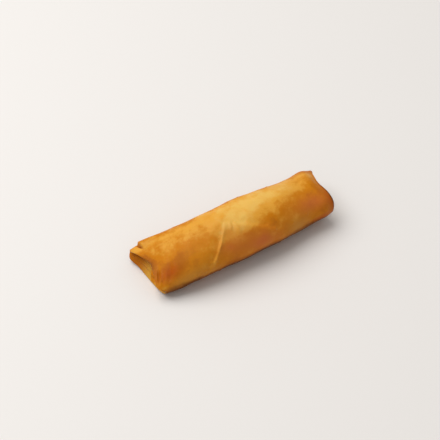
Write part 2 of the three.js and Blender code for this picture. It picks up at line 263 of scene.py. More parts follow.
def share(name, description, default):
    """A setting from 0 to 1."""
    return number(name, description, default, min=0, max=1, subtype="FACTOR")


def angle(name, description, degrees):
    """A setting that is an angle, kept in radians."""
    return number(name, description, math.radians(degrees), unit="ROTATION", subtype="ANGLE")


def colour(name, description, default):
    """A setting in linear red, green and blue."""
    return bpy.props.FloatVectorProperty(
        name=name, description=description, default=default, size=3, min=0, max=1, subtype="COLOR"
    )


class SpringRollForm(bpy.types.PropertyGroup):
    half_length: length("Half length", "Middle of the roll to the mean line of a rim", 0.052)
    wrapper: length("Lip", "Half the thickness of the lip that the folded wrapper makes", 0.0007)
    pressed_flat: length("Pressed flat", "How much of the round underside is pressed away", 0.00035)
    flap_thickness: length("Flap", "Thickness of the glued corner of the wrapper", 0.0007)
    flap_bead: length("Flap edge", "How far the flap's left edge stands up as a bead", 0.00055)
    layer_height: length("Layer", "How far the outermost layer stands up at the left end", 0.0018)
    points_round: bpy.props.IntProperty(
        name="Points round", description="Points in a ring of the skin", default=320, min=24
    )


class SpringRollCrust(bpy.types.PropertyGroup):
    blister_spacing: length("Blister spacing", "Distance between the middles of blisters", 0.0042)
    blister_radius: length("Blister radius", "Radius of a middling blister", 0.0012)
    blister_height: length("Blister height", "Height of a middling blister", 0.00028)
    blister_share: share("Blisters", "Share of the places that hold a blister", 0.42)
    grain_size: length("Unevenness", "Size of the soft unevenness of the skin", 0.0055)
    grain_height: length("Unevenness height", "Height of the soft unevenness", 0.00032)
    seed: bpy.props.IntProperty(name="Seed", description="Which blisters come out", default=7)
    golden: colour("Golden", "Most of the crust", (0.75, 0.35, 0.04))
    pale: colour("Pale", "Where the oil hardly browned the wrapper", (0.80, 0.47, 0.10))
    amber: colour("Amber", "Well fried patches", (0.59, 0.195, 0.002))
    russet: colour("Russet", "The brownest patches, the ends and the edges", (0.45, 0.13, 0.002))
    ruddy: colour("Ruddy", "Patches that fried redder", (0.61, 0.155, 0.035))
    olive: colour("Olive", "Patches that fried duller", (0.56, 0.23, 0.026))
    roasted: colour("Roasted", "Corners that fried a deep red", (0.46, 0.088, 0.0))
    # Dark is the deepest browning, as on the right rim, and painted shade deep in the slits and under the
    # roll.
    dark: colour("Dark", "The bottoms of the folds", (0.145, 0.042, 0.002))
    # The crevice's colour is painted shade: the notch at the left end and the pleats' grooves.
    crevice_shade: colour("Crevice", "The raw red of the crevice at the left end", (0.3, 0.05, 0.0))
    inner: colour("Inner", "The tucked-in layers in the mouths", (0.63, 0.31, 0.035))


class SpringRollStage(bpy.types.PropertyGroup):
    azimuth: angle("Azimuth", "Where the camera stands round the roll, 0 being the front", -31.4)
    elevation: angle("Elevation", "How high the camera looks down from", 46.6)
    distance: length("Distance", "Camera to the point that it looks at", 0.7)
    target_x: length("Target X", "The point on the floor that the camera looks at", -0.000304)
    target_y: length("Target Y", "The point on the floor that the camera looks at", 0.017962)
    lens: number("Lens", "Focal length in millimetres", 106.9, min=1, subtype="DISTANCE_CAMERA")
    floor_colour: colour("Floor", "The pale surface under the roll", (0.83, 0.80, 0.77))
    key_power: number("Key light", "Power of the large soft light in watts", 13.0, min=0, unit="POWER")
    sky: share("Sky", "Brightness of the even light from all round", 0.46)


# ---- Small helpers ----

def smooth(value, low, high):
    """0 up to low, 1 from high on, and an even curve between them."""
    t = np.clip((value - low) / (high - low), 0, 1)
    return t * t * (3 - 2 * t)


def bell(distance, spread):
    """1 in the middle, dying away to both sides."""
    return np.exp(-((distance / spread) ** 2))


def turn_from(angles, start):
    """The signed turn from one angle to others, in degrees, from -180 to 180."""
    return (angles - start + 180) % 360 - 180


def blend(low, high, amount):
    """low at amount 0, high at amount 1."""
    return low + (high - low) * amount


# ---- Sections ----

def sections_at(at):
    """Every measure at places along the roll, on smooth curves through the listed sections."""
    stations = np.array(list(SECTIONS))
    values = np.array(list(SECTIONS.values()))
    slopes = np.empty_like(values)
    for i in range(len(stations)):
        before, after = max(i - 1, 0), min(i + 1, len(stations) - 1)
        slopes[i] = (values[after] - values[before]) / (stations[after] - stations[before])
    i = np.clip(np.searchsorted(stations, at) - 1, 0, len(stations) - 2)
    gap = (stations[i + 1] - stations[i])[..., None]
    s = np.clip((at - stations[i])[..., None] / gap, 0, 1)
    curve = (
        (2 * s**3 - 3 * s**2 + 1) * values[i]
        + (s**3 - 2 * s**2 + s) * gap * slopes[i]
        + (3 * s**2 - 2 * s**3) * values[i + 1]
        + (s**3 - s**2) * gap * slopes[i + 1]
    )
    section = {name: curve[..., k] for k, name in enumerate(MEASURES)}
    section["height"] = section["lift"] + section["half_height"]
    return section


def outline(section, angles):
    """The y and z of sections' outlines at angles."""
    c, s = np.cos(np.radians(angles)), np.sin(np.radians(angles))
    power = np.where(s > 0, section["upper"], section["under"])
    rise = np.sign(s) * np.abs(s) ** power
    return section["bow"] + section["half_width"] * c, section["height"] + section["half_height"] * rise


def outward(section, angles):
    """The direction straight out of sections' outlines at angles, as y and z."""
    y = section["half_height"] * np.cos(np.radians(angles))
    z = section["half_width"] * np.sin(np.radians(angles))
    reach = np.hypot(y, z)
    return y / reach, z / reach


# ---- Relief on the body ----

def flap_places(x, angles):
    """How far points lie from the flap's tip round the roll, and how far inside each of its edges."""
    from_tip = np.radians((angles - FLAP["angle"]) % 360) * MEAN_RADIUS
    inside = []
    for edge, gap in ((FLAP_LEFT, FLAP["x"] - x), (FLAP_RIGHT, x - FLAP["x"])):
        slant = math.radians(edge["angle"])
        inside.append((from_tip * math.tan(slant) - gap) * math.cos(slant))
    return from_tip, inside[0], inside[1]


def bead_share(from_tip, on_left):
    """How much of its height the bead has on the way down the flap's edges, with its ripple."""
    bead = np.where(on_left, FLAP_LEFT["bead"], FLAP_RIGHT["bead"])
    start = math.radians(FLAP_RIPPLE["start"])
    ripple = np.sin(from_tip / FLAP_RIPPLE["length"] * 2 * math.pi + start)
    stands = smooth(from_tip, *BEAD_STARTS) - smooth(from_tip, *BEAD_ENDS)
    return bead * (1 + FLAP_RIPPLE["share"] * ripple) * stands


def flap_relief(form, x, angles):
    """The corner flap, one more layer that thins to nothing once it has gone round the roll."""
    from_tip, left, right = flap_places(x, angles)
    on_left = left < right
    inside = np.minimum(left, right)
    sunk = smooth(from_tip, FLAP["stands_to"], FLAP["sunk_by"])
    width = np.where(on_left, FLAP_LEFT["width"], FLAP_RIGHT["width"])
    width = width * (1 + (FLAP["sink_width"] - 1) * sunk)
    step = form.flap_thickness / MM * smooth(inside, -width / 2, width / 2)
    step = step * blend(TIP["share"], 1, smooth(from_tip, 0, TIP["full"]))
    crest = bell(inside - width * BEAD_INSIDE, width)
    bead = form.flap_bead / MM * bead_share(from_tip, on_left) * crest
    return (step + bead) * (1 - from_tip / (2 * math.pi * MEAN_RADIUS))


def crevice_share(along, angles):
    """How much of the crevice's depth, and of its painted shade, there is."""
    across = bell(along - CREVICE["along"], CREVICE["width"])
    return across * bell(turn_from(angles, CREVICE["angle"]), CREVICE["spread"])


def layer_relief(form, along, angles):
    """The outermost layer at the back of the left end, with the crevice at its edge."""
    from_edge = along - LAYER["along"]
    edge = smooth(from_edge, -LAYER["edge"], LAYER["edge"])
    lengthwise = edge * (1 - smooth(from_edge, LAYER["edge"], LAYER["length"]))
    comes_up = smooth(angles, LAYER["low"], LAYER["low"] + LAYER["rise"])
    dies_away = smooth(angles, LAYER["high"], LAYER["high"] + LAYER["fall"])
    layer = form.layer_height / MM * lengthwise * comes_up * (1 - dies_away)
    return layer - CREVICE["depth"] * crevice_share(along, angles)


def pleat_relief(along, angles):
    """The grooves of the pleats at the left end's front corner."""
    turn = turn_from(angles, PLEATS_MEET)
    grooves = 0
    for place, depth, width, strays, middle, half in PLEAT_LINES:
        across = bell(along - place - strays * turn / PLEATS_STRAY, width)
        grooves = grooves + depth * (across * bell(turn_from(angles, middle), half))
    return -grooves


def fan_relief(along, angles):
    """The small folds that fan out below the flap's tip."""
    down = turn_from(angles, FLAP["angle"])
    folds = 0
    for place, strays, start, end, height, width in FAN:
        stands = smooth(down, start, start + FAN_RISE) * (1 - smooth(down, end - FAN_FALL, end))
        folds = folds + height * stands * bell(along - place - strays * down / FAN_STRAYS, width)
    return folds


def dent_relief(x, angles):
    """The dents and bumps next to the flap."""
    dents = 0
    for middle, turn, depth, radius in DENTS:
        across = np.radians(turn_from(angles, turn)) * MEAN_RADIUS
        dents = dents + depth * bell(np.hypot(x - middle, across), radius)
    return -dents


def wave_relief(x, angles):
    """The body's gentle waves, which leave the underside flat."""
    off_the_floor = smooth(np.sin(np.radians(angles)), *WAVES_START)
    waves = 0
    for height, crest_gap, crests, start in WAVES:
        waves = waves + height * np.sin(np.radians(x / crest_gap * 360 + crests * angles + start))
    return off_the_floor * waves


# ---- The surface ----

def rim_reach(end, angles):
    """How far a rim stands out at angles, on a smooth curve through the end's listed reaches."""
    reach = np.array(end["reach"])
    place = (angles % 360) / REACH_STEP
    i = np.floor(place).astype(int)
    s = place - i
    before, low, high, after = (reach[(i + step) % len(reach)] for step in (-1, 0, 1, 2))
    square = 2 * before - 5 * low + 4 * high - after
    cube = 3 * (low - high) + after - before
    return low + s / 2 * (high - before + s * (square + s * cube))


def lean(along, angles):
    """How far a ring's points are shifted along the roll, to lean with the flap's left edge."""
    going_down = np.clip(np.radians(angles - FLAP["angle"]) * MEAN_RADIUS, 0, LEAN["furthest"])
    slant = math.tan(math.radians(FLAP_LEFT["angle"])) * going_down
    straightened = smooth(angles, LEAN["straightens"], LEAN["straight"])
    away = along - FLAP["x"]
    away = np.where(away < 0, -away / LEAN["left_length"], away / LEAN["right_length"])
    return -slant * (1 - straightened) * np.clip(1 - away, 0, 1)


def body_points(form, along, angles):
    """The body with its relief, out to the rims."""
    straight = (form.half_length - form.wrapper) / MM
    leaned = along + lean(along, angles)
    at = leaned / straight
    section = sections_at(at)
    stretch = np.clip((np.abs(at) - REACH_STARTS) / (1 - REACH_STARTS), 0, None) ** 2
    reach = np.where(at < 0, -rim_reach(LEFT_END, angles), rim_reach(RIGHT_END, angles))
    x = leaned + reach * stretch
    from_rim = straight - np.abs(leaned)
    relief = flap_relief(form, x, angles) + dent_relief(x, angles) + wave_relief(x, angles)
    relief = relief + fan_relief(along, angles)
    relief = relief * smooth(from_rim, 0, RELIEF_FADE)
    ends = layer_relief(form, leaned, angles) + pleat_relief(leaned, angles)
    relief = relief + ends * smooth(from_rim, 0, form.wrapper / MM)
    y, z = outline(section, angles)
    out_y, out_z = outward(section, angles)
    return x, y + out_y * relief, z + out_z * relief


def lip_share(angles):
    """How much of the lip's depth its inner side has: all of it on top, less on the lower lip."""
    return blend(FLUSH, 1, smooth(np.sin(np.radians(angles)), *FLUSH_ENDS))


def overlap_turn(inward, angles):
    """The turn from the front layer's edge in the left mouth, negative on the layer."""
    return turn_from(angles, OVERLAP["angle"] + OVERLAP["strays"] * inward)


def overlap_relief(inward, angles):
    """The front layer's edge in the left mouth, with the crease beside it."""
    turn = overlap_turn(inward, angles)
    levels = smooth(-turn, OVERLAP["width"], OVERLAP["length"])
    layer = smooth(-turn, 0, OVERLAP["width"]) * (1 - levels)
    crease = bell(turn, OVERLAP["width"] / 2)
    fades = smooth(inward, *OVERLAP_STARTS) * (1 - smooth(inward, *OVERLAP_ENDS))
    return fades * (OVERLAP["height"] * layer - OVERLAP["crease"] * crease)


def on_front_layer(inward, angles):
    """How surely points of the left mouth lie on the front layer, which has the body's colour."""
    turn = overlap_turn(inward, angles)
    ends = smooth(-turn, OVERLAP["length"], OVERLAP["end"])
    return smooth(-turn, 0, OVERLAP["width"]) * (1 - ends)


def fold_relief(end, inward, angles):
    """The gaps between a mouth's tucked-in layers, with the puff of the layer behind each."""
    grooves = 0
    for place, depth in end["folds"]:
        gap = bell(inward - place, FOLD_WIDTH / 2)
        puff = bell(inward - place - PUFF_BEHIND * FOLD_WIDTH, FOLD_WIDTH)
        grooves = grooves + depth * (gap - FOLD_PUFF * puff)
    gape = end["gape"]
    widest = bell(turn_from(angles, gape["angle"]), gape["spread"])
    return -grooves * blend(gape["elsewhere"], 1, widest)


def rim_section(end, inward, angles, inset):
    """An end's section at its rim, smaller all round by an inset."""
    section = sections_at(np.full(np.broadcast(inward, angles).shape, float(end["side"])))
    section["half_width"] = section["half_width"] - inset
    section["half_height"] = section["half_height"] - inset
    return section


def lip_points(form, end, turn, angles):
    """The rounded lip, from its inner side at turn 0 to its outer side at turn 1."""
    lip = form.wrapper / MM
    section = rim_section(end, turn, angles, lip * (1 + np.cos(turn * math.pi)))
    y, z = outline(section, angles)
    forward = lip * (np.sin(turn * math.pi) - 1)
    forward = forward * np.where(turn < 0.5, lip_share(angles), 1)
    return end["side"] * (form.half_length / MM + rim_reach(end, angles) + forward), y, z


def mouth_points(form, end, inward, angles):
    """The mouth, from the lip's inner side at inward 0 to the slit at inward 1."""
    lip = form.wrapper / MM
    slit = end["slit"]
    section = rim_section(end, inward, angles, 2 * lip)
    closed = {
        "half_width": slit["half_width"],
        "half_height": SLIT_HALF_HEIGHT,
        "height": slit["height"],
        "bow": slit["middle"],
        "upper": 1,
        "under": 1,
    }
    for name, value in closed.items():
        section[name] = blend(section[name], value, inward)
    sines = np.sin(np.radians(angles))
    slope = inward ** (1 - UNDER_LIP["steeper"] * smooth(sines, 0, UNDER_LIP["full"]))
    start = lip * lip_share(angles)
    depth = start + (slit["depth"] - start) * slope - fold_relief(end, inward, angles)
    if end is LEFT_END:
        depth = depth - overlap_relief(inward, angles)
    reach = rim_reach(end, angles) * blend(1, SLIT_FOLLOWS, inward)
    y, z = outline(section, angles)
    z = z + slit["arch"] * inward * sines**2
    return end["side"] * (form.half_length / MM + reach - depth), y, z


# ---- Rings ----

LIP_RINGS = 9
FOLD_RINGS = 9
BETWEEN_FOLDS = 0.045  # gap between rings away from the folds, as a share of the way in
BODY_GAP = 0.56  # between rings on the open body, in millimetres
CRISP_GAP = 0.22  # between rings at an edge
EDGE_REACH = 1.4  # how far from an edge the rings are close
FOLD_REACH = 1.2  # and from a fold, in fold widths
UNDER_LIP_INSIDE = 0.15  # the under lip counts as this far inside, as it has the mouth's colour
UNDER_LIP_ENDS = (-0.4, 0.1)  # sine of the angle, between the lip that does and the lip that doesn't


def mouth_places(end):
    """How far in the mouth's rings lie, closer together at the folds, from the slit outwards."""
    places = list(np.arange(0, 1, BETWEEN_FOLDS))
    for place, _depth in end["folds"]:
        low, high = place - FOLD_REACH * FOLD_WIDTH, place + FOLD_REACH * FOLD_WIDTH
        places = [p for p in places if not low < p < high]
        places += list(np.linspace(low, high, FOLD_RINGS))
    return np.array(sorted(places + [1.0], reverse=True))


def body_places(form):
    """Where the body's rings lie along the roll, closer together at the layer's and the flap's edge."""
    rim = (form.half_length - form.wrapper) / MM
    stops = [
        (-rim, CRISP_GAP),
        (LAYER["along"] + EDGE_REACH, BODY_GAP),
        (FLAP["x"] - EDGE_REACH, CRISP_GAP),
        (FLAP["x"] + EDGE_REACH, BODY_GAP),
        (rim - EDGE_REACH, CRISP_GAP),
        (rim, None),
    ]
    places = []
    for (low, gap), (high, _next_gap) in zip(stops, stops[1:]):
        places += list(np.linspace(low, high, math.ceil((high - low) / gap), endpoint=False))
    return np.array(places + [rim])


def end_rings(form, end, angles):
    """An end's rings from the slit out over the lip, and how far inside the mouth their points lie."""
    on_under_lip = UNDER_LIP_INSIDE * (1 - smooth(np.sin(np.radians(angles)), *UNDER_LIP_ENDS))
    turns = np.arange(1, LIP_RINGS)[:, None] / LIP_RINGS
    inward = mouth_places(end)[:, None]
    mouth = np.stack(mouth_points(form, end, inward, angles), -1)
    lip = np.stack(lip_points(form, end, turns, angles), -1)
    tucked = np.maximum(inward, on_under_lip)
    if end is LEFT_END:
        tucked = tucked * (1 - on_front_layer(inward, angles))
    inside = np.concatenate([tucked, on_under_lip * (1 - turns**2)])
    return np.concatenate([mouth, lip]), inside


def skin_rings(form, angles):
    """Every ring from the left slit over the body to the right slit.

    Gives the rings' points, how far inside a mouth the points lie, and their places along the roll.
    """
    angles = angles[None, :]
    left, left_inside = end_rings(form, LEFT_END, angles)
    right, right_inside = end_rings(form, RIGHT_END, angles)
    along = body_places(form)[:, None]
    body = np.stack(body_points(form, along, angles), -1)
    points = np.concatenate([left, body, right[::-1]])
    inside = np.concatenate([left_inside, np.zeros(body.shape[:2]), right_inside[::-1]])
    rim = form.half_length / MM
    leaned = np.broadcast_to(along + lean(along, angles), body.shape[:2])
    places = [np.full(left.shape[:2], -rim), leaned, np.full(right.shape[:2], rim)]
    return points, inside, np.concatenate(places)


# ---- The skin's mesh ----

def skin_faces(ring_count, count):
    """Quads between neighbouring rings, and the two slits zipped shut."""
    faces = []
    for r in range(ring_count - 1):
        a = r * count + np.arange(count)
        b = r * count + (np.arange(count) + 1) % count
        faces += np.stack([a, b, b + count, a + count], -1).tolist()
    for first, flip in ((0, False), ((ring_count - 1) * count, True)):
        for i in range(count // 2):
            corners = [first + i, first + (count - i) % count, first + count - i - 1, first + i + 1]
            corners = list(dict.fromkeys(corners))
            faces.append(corners[::-1] if flip else corners)
    return faces


def patches(table, x, angles):
    """The sum of a table's patches at points."""
    total = 0
    for middle, turn, half_length, half_width, strength in table.values():
        round_it = bell(turn_from(angles, turn), half_width)
        total = total + strength * bell(x - middle, half_length) * round_it
    return total


def edge_browning_and_shade(along, angles):
    """How much browner the rims' thin edges are, with painted shade on the left rim's top where the lip
    rolls over.
    """
    left = bell(along - along.min(), LEFT_EDGE_BROWN_AND_SHADE["width"])
    left = left * bell(turn_from(angles, LEFT_EDGE_BROWN_AND_SHADE["angle"]), LEFT_EDGE_BROWN_AND_SHADE["spread"])
    right = bell(along - along.max(), RIGHT_EDGE["width"])
    right = right * smooth(angles, RIGHT_EDGE["from"], RIGHT_EDGE["full"])
    return LEFT_EDGE_BROWN_AND_SHADE["browner"] * left + RIGHT_EDGE["browner"] * right


def bead_highlight(x, angles):
    """How much paler the crest of the flap's left edge is: a painted highlight where it catches the light.
    """
    from_tip, left, right = flap_places(x, angles)
    width = FLAP_LEFT["width"]
    crest = bell(left - width * BEAD_INSIDE, width) * (left < right)
    return BEAD_HIGHLIGHT * (crest * (1 - smooth(from_tip, *BEAD_ENDS)))


def surface_masks(points, along, angles):
    """How brown, red, dull and roasted the skin is, with painted highlight and shade in the browning, and
    how much painted shade it has from the crevice and the pleats, at its points.
    """
    x = points[..., 0]
    angles = np.broadcast_to(angles[None, :], x.shape)
    off_top = np.abs(turn_from(angles, BROWNING["top_angle"]))
    on_sides = smooth(off_top, BROWNING["top_ends"], BROWNING["sides_start"])
    browning = BROWNING["top"] + BROWNING["sides"] * on_sides
    browning = browning + edge_browning_and_shade(along, angles)
    crevice_shade = crevice_share(along, angles) - PLEAT_SHADE * pleat_relief(along, angles)
    return {
        "browning": browning + patches(PATCHES, x, angles) - bead_highlight(x, angles),
        "ruddy": patches(RUDDY, x, angles),
        "olive": patches(OLIVE, x, angles),
        "roasted": patches(ROASTED, x, angles),
        "crevice_shade": np.clip(crevice_shade, 0, 1),
    }


def build_skin(form):
    """The bare skin as a mesh object in the frame, its box over the CAD node's box."""
    count = form.points_round
    angles = np.arange(count) * 360 / count
    points, inside, along = skin_rings(form, angles)
    masks = surface_masks(points, along, angles)
    masks["inside"] = inside
    co = points.reshape(-1, 3) * MM
    co[:, 2] = np.maximum(co[:, 2] - form.pressed_flat, 0)
    low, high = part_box(NODE)
    for axis in (0, 1):
        co[:, axis] += (low[axis] + high[axis] - co[:, axis].min() - co[:, axis].max()) / 2
    mesh = bpy.data.meshes.new("wrapper_skin")
    mesh.from_pydata(co.tolist(), [], skin_faces(len(points), count))
    for name, values in masks.items():
        mask = mesh.attributes.new(name, "FLOAT", "POINT")
        mask.data.foreach_set("value", values.astype(np.float32).ravel())
    mesh.shade_smooth()
    skin = bpy.data.objects.new("wrapper_skin", mesh)
    bpy.context.scene.collection.objects.link(skin)
    return skin


# ---- Node helpers ----

class Tree:
    """Adds nodes to a node tree, and links or sets their inputs by name or place."""

    def __init__(self, tree):
        self.nodes = tree.nodes
        self.links = tree.links

    def add(self, kind, inputs=None, **settings):
        """A new node with its settings and inputs."""
        node = self.nodes.new(kind)
        for name, value in settings.items():
            setattr(node, name, value)
        for key, value in (inputs or {}).items():
            socket = node.inputs[key]
            if isinstance(value, bpy.types.NodeSocket):
                self.links.new(value, socket)
            else:
                socket.default_value = value
        return node

    def math(self, operation, a, b=0.0):
        """A value worked out from one or two others."""
        return self.add("ShaderNodeMath", {0: a, 1: b}, operation=operation).outputs[0]

    def add_vectors(self, a, b):
        """The sum of two vectors."""
        return self.add("ShaderNodeVectorMath", {0: a, 1: b}, operation="ADD").outputs["Vector"]

    def about_zero(self, pattern):
        """A noise pattern, which lies about a half, moved to lie about 0."""
        return self.math("SUBTRACT", pattern, 0.5)

    def ramp(self, value, low, high, to_low=0.0, to_high=1.0):
        """The value taken smoothly from low..high to to_low..to_high."""
        inputs = {"Value": value, "From Min": low, "From Max": high, "To Min": to_low, "To Max": to_high}
        node = self.add("ShaderNodeMapRange", inputs, interpolation_type="SMOOTHSTEP")
        return node.outputs["Result"]


# ---- Fry relief ----

# The tree's inputs: name, kind, and the crust's setting that goes into it.
RELIEF_INPUTS = (
    ("Blister Spacing", "NodeSocketFloat", "blister_spacing"),
    ("Blister Radius", "NodeSocketFloat", "blister_radius"),
    ("Blister Height", "NodeSocketFloat", "blister_height"),
    ("Blister Share", "NodeSocketFloat", "blister_share"),
    ("Unevenness Size", "NodeSocketFloat", "grain_size"),
    ("Unevenness Height", "NodeSocketFloat", "grain_height"),
    ("Seed", "NodeSocketInt", "seed"),
)
SEED_STRIDE = 0.37  # metres between the patterns of neighbouring seeds
SMALLEST_BLISTER = 0.5  # its radius as a share of a middling one's; the largest has 1 more
LOWEST_BLISTER = 0.4  # and the same for the height
BLISTER_EDGE = (0.0, 0.12)  # a dome dies away this near to the border of the next blister's place
BLISTERS_INSIDE = (0.0, 0.3, 1.0, 0.3)  # how far into a mouth, and how much lower they get there
GRAIN_DETAIL = 3.0


def relief_tree(material):
    """Geometry Nodes that raise blisters and a soft unevenness on a skin, and keep it off the floor."""
    group = bpy.data.node_groups.new("fry_relief", "GeometryNodeTree")
    face = group.interface
    face.new_socket("Geometry", in_out="INPUT", socket_type="NodeSocketGeometry")
    for name, kind, _setting in RELIEF_INPUTS:
        face.new_socket(name, in_out="INPUT", socket_type=kind)
    face.new_socket("Geometry", in_out="OUTPUT", socket_type="NodeSocketGeometry")
    tree = Tree(group)
    given = tree.add("NodeGroupInput").outputs
    position = tree.add("GeometryNodeInputPosition").outputs[0]
    normal = tree.add("GeometryNodeInputNormal").outputs[0]
    named = tree.add("GeometryNodeInputNamedAttribute", {"Name": "inside"}, data_type="FLOAT")
    inside = named.outputs[0]
    stride = tree.math("MULTIPLY", given["Seed"], SEED_STRIDE)
    shift = tree.add("ShaderNodeCombineXYZ", {"X": stride}).outputs[0]
    place = tree.add_vectors(position, shift)

    cells = {"Vector": place, "Scale": tree.math("DIVIDE", 1.0, given["Blister Spacing"])}
    nearest = tree.add("ShaderNodeTexVoronoi", cells)
    border = tree.add("ShaderNodeTexVoronoi", cells, feature="DISTANCE_TO_EDGE").outputs["Distance"]
    draw = tree.add("FunctionNodeSeparateColor", {"Color": nearest.outputs["Color"]}).outputs
    chosen = tree.math("LESS_THAN", draw["Red"], given["Blister Share"])
    size = tree.math("ADD", draw["Green"], SMALLEST_BLISTER)
    radius = tree.math("MULTIPLY", given["Blister Radius"], size)
    away = tree.math("MULTIPLY", nearest.outputs["Distance"], given["Blister Spacing"])
    dome = tree.ramp(tree.math("DIVIDE", away, radius), 0.0, 1.0, 1.0, 0.0)
    dome = tree.math("MULTIPLY", dome, tree.ramp(border, *BLISTER_EDGE))
    dome = tree.math("MULTIPLY", dome, chosen)
    dome = tree.math("MULTIPLY", dome, tree.math("ADD", draw["Blue"], LOWEST_BLISTER))
    dome = tree.math("MULTIPLY", dome, tree.ramp(inside, *BLISTERS_INSIDE))

    fineness = tree.math("DIVIDE", 1.0, given["Unevenness Size"])
    grain = {"Vector": place, "Scale": fineness, "Detail": GRAIN_DETAIL}
    grain = tree.about_zero(tree.add("ShaderNodeTexNoise", grain).outputs[0])
    height = tree.math("MULTIPLY", grain, given["Unevenness Height"])
    height = tree.math("ADD", height, tree.math("MULTIPLY", dome, given["Blister Height"]))
    lift = tree.add("ShaderNodeVectorMath", {0: normal, "Scale": height}, operation="SCALE")
    moved = tree.add_vectors(position, lift.outputs["Vector"])
    moved = tree.add("ShaderNodeSeparateXYZ", {0: moved}).outputs
    moved = {"X": moved["X"], "Y": moved["Y"], "Z": tree.math("MAXIMUM", moved["Z"], 0.0)}
    moved = tree.add("ShaderNodeCombineXYZ", moved).outputs[0]

    raised = tree.add("GeometryNodeSetPosition", {"Geometry": given["Geometry"], "Position": moved})
    real = tree.add("GeometryNodeRealizeInstances", {"Geometry": raised.outputs[0]})
    painted = tree.add("GeometryNodeSetMaterial", {"Geometry": real.outputs[0], "Material": material})
    tree.add("NodeGroupOutput", {"Geometry": painted.outputs[0]})
    return group


def apply_relief(skin, crust, material):
    """Runs the fry relief on the skin and keeps its result as a plain mesh."""
    group = relief_tree(material)
    modifier = skin.modifiers.new("fry_relief", "NODES")
    modifier.node_group = group
    sockets = {item.name: item for item in group.interface.items_tree if item.in_out == "INPUT"}
    for name, _kind, setting in RELIEF_INPUTS:
        modifier[sockets[name].identifier] = getattr(crust, setting)
    evaluated = skin.evaluated_get(bpy.context.evaluated_depsgraph_get())
    finished = bpy.data.meshes.new_from_object(evaluated)
    skin.modifiers.remove(modifier)
    bare = skin.data
    skin.data = finished
    bpy.data.meshes.remove(bare)
    finished.name = skin.name
    finished.shade_smooth()


# ---- The crust's finish ----

# Noise patterns on the crust, in metres.
BLOTCHES = {"size": 0.022, "detail": 3.0, "roughness": 0.55}
MOTTLE = {"size": 0.0055, "detail": 3.0, "roughness": 0.5}
SPECKS = {"size": 0.0013, "detail": 3.0, "roughness": 0.6}
PORES = {"size": 0.0011, "detail": 3.0, "roughness": 0.6}
VARIES = (0.45, 0.6, 0.25)  # how much the blotches, the mottle and the specks vary the browning

# Ramps over a value, from low to high: an amount goes from 0 to 1, or from the third number to the
# fourth.
TONES = (("golden", 0.0, 0.35), ("amber", 0.35, 0.68), ("russet", 0.68, 1.0))  # by browning
DARKENS = (0.95, 1.75)  # the browning between which the crust turns dark; where painted shade raised the browning, this dark is painted shade too
UNDERSIDE_BROWN_AND_SHADE = (-0.05, -0.5, 0.0, 0.62)  # by how far down the skin faces, how much browner it is: partly a browner bottom, partly painted shade where it turns toward the floor
TOWARD_ENDS = (0.04, 0.056, 0.0, 0.14)  # by the distance from the middle, how much browner it is
BROKEN_RED = (0.35, 0.6, 0.5, 1.0)  # by the blotches, how much of the redder patches comes out
BACK_OF_MOUTH = (0.002, 0.012)  # the y between which the tucked-in layers turn russet
LIP_TO_MOUTH = (0.0, 0.15)  # how far inside the tucked-in layers' colour starts, and is full
SHADE_INTO_SLIT = (0.7, 1.0)  # and the same for the painted shade deep in the slit
GLOSS = (0.3, 0.7, 0.36, 0.52)  # by the mottle, the roughness of the film of oil

FINE_BUMP = {"Strength": 0.35, "Distance": 0.00025}
MOTTLE_BUMP = 0.8  # how much of the mottle goes into the bump
FINISH = {
    "Specular IOR Level": 0.09,
    "Subsurface Weight": 0.12,
    "Subsurface Radius": (1.0, 0.45, 0.15),
    "Subsurface Scale": 0.0015,
}


def rgba(values):
    """A colour as nodes take it, fully opaque."""
    return (*values, 1.0)


def mix_colour(tree, amount, a, b):
    """A colour blended from a to b."""
    node = tree.add("ShaderNodeMix", {"Factor": amount}, data_type="RGBA")
    for socket, value in (("A_Color", a), ("B_Color", b)):
        target = next(s for s in node.inputs if s.identifier == socket)
        if isinstance(value, bpy.types.NodeSocket):
            tree.links.new(value, target)
        else:
            target.default_value = rgba(value)
    return next(s for s in node.outputs if s.identifier == "Result_Color")


def noise(tree, place, size, detail, roughness):
    """A noise pattern of patches of about this size."""
    inputs = {"Vector": place, "Scale": 1 / size, "Detail": detail, "Roughness": roughness}
    return tree.add("ShaderNodeTexNoise", inputs).outputs[0]


def attribute(tree, name):
    """A value that the skin carries at its points."""
    return tree.add("ShaderNodeAttribute", attribute_name=name).outputs["Fac"]


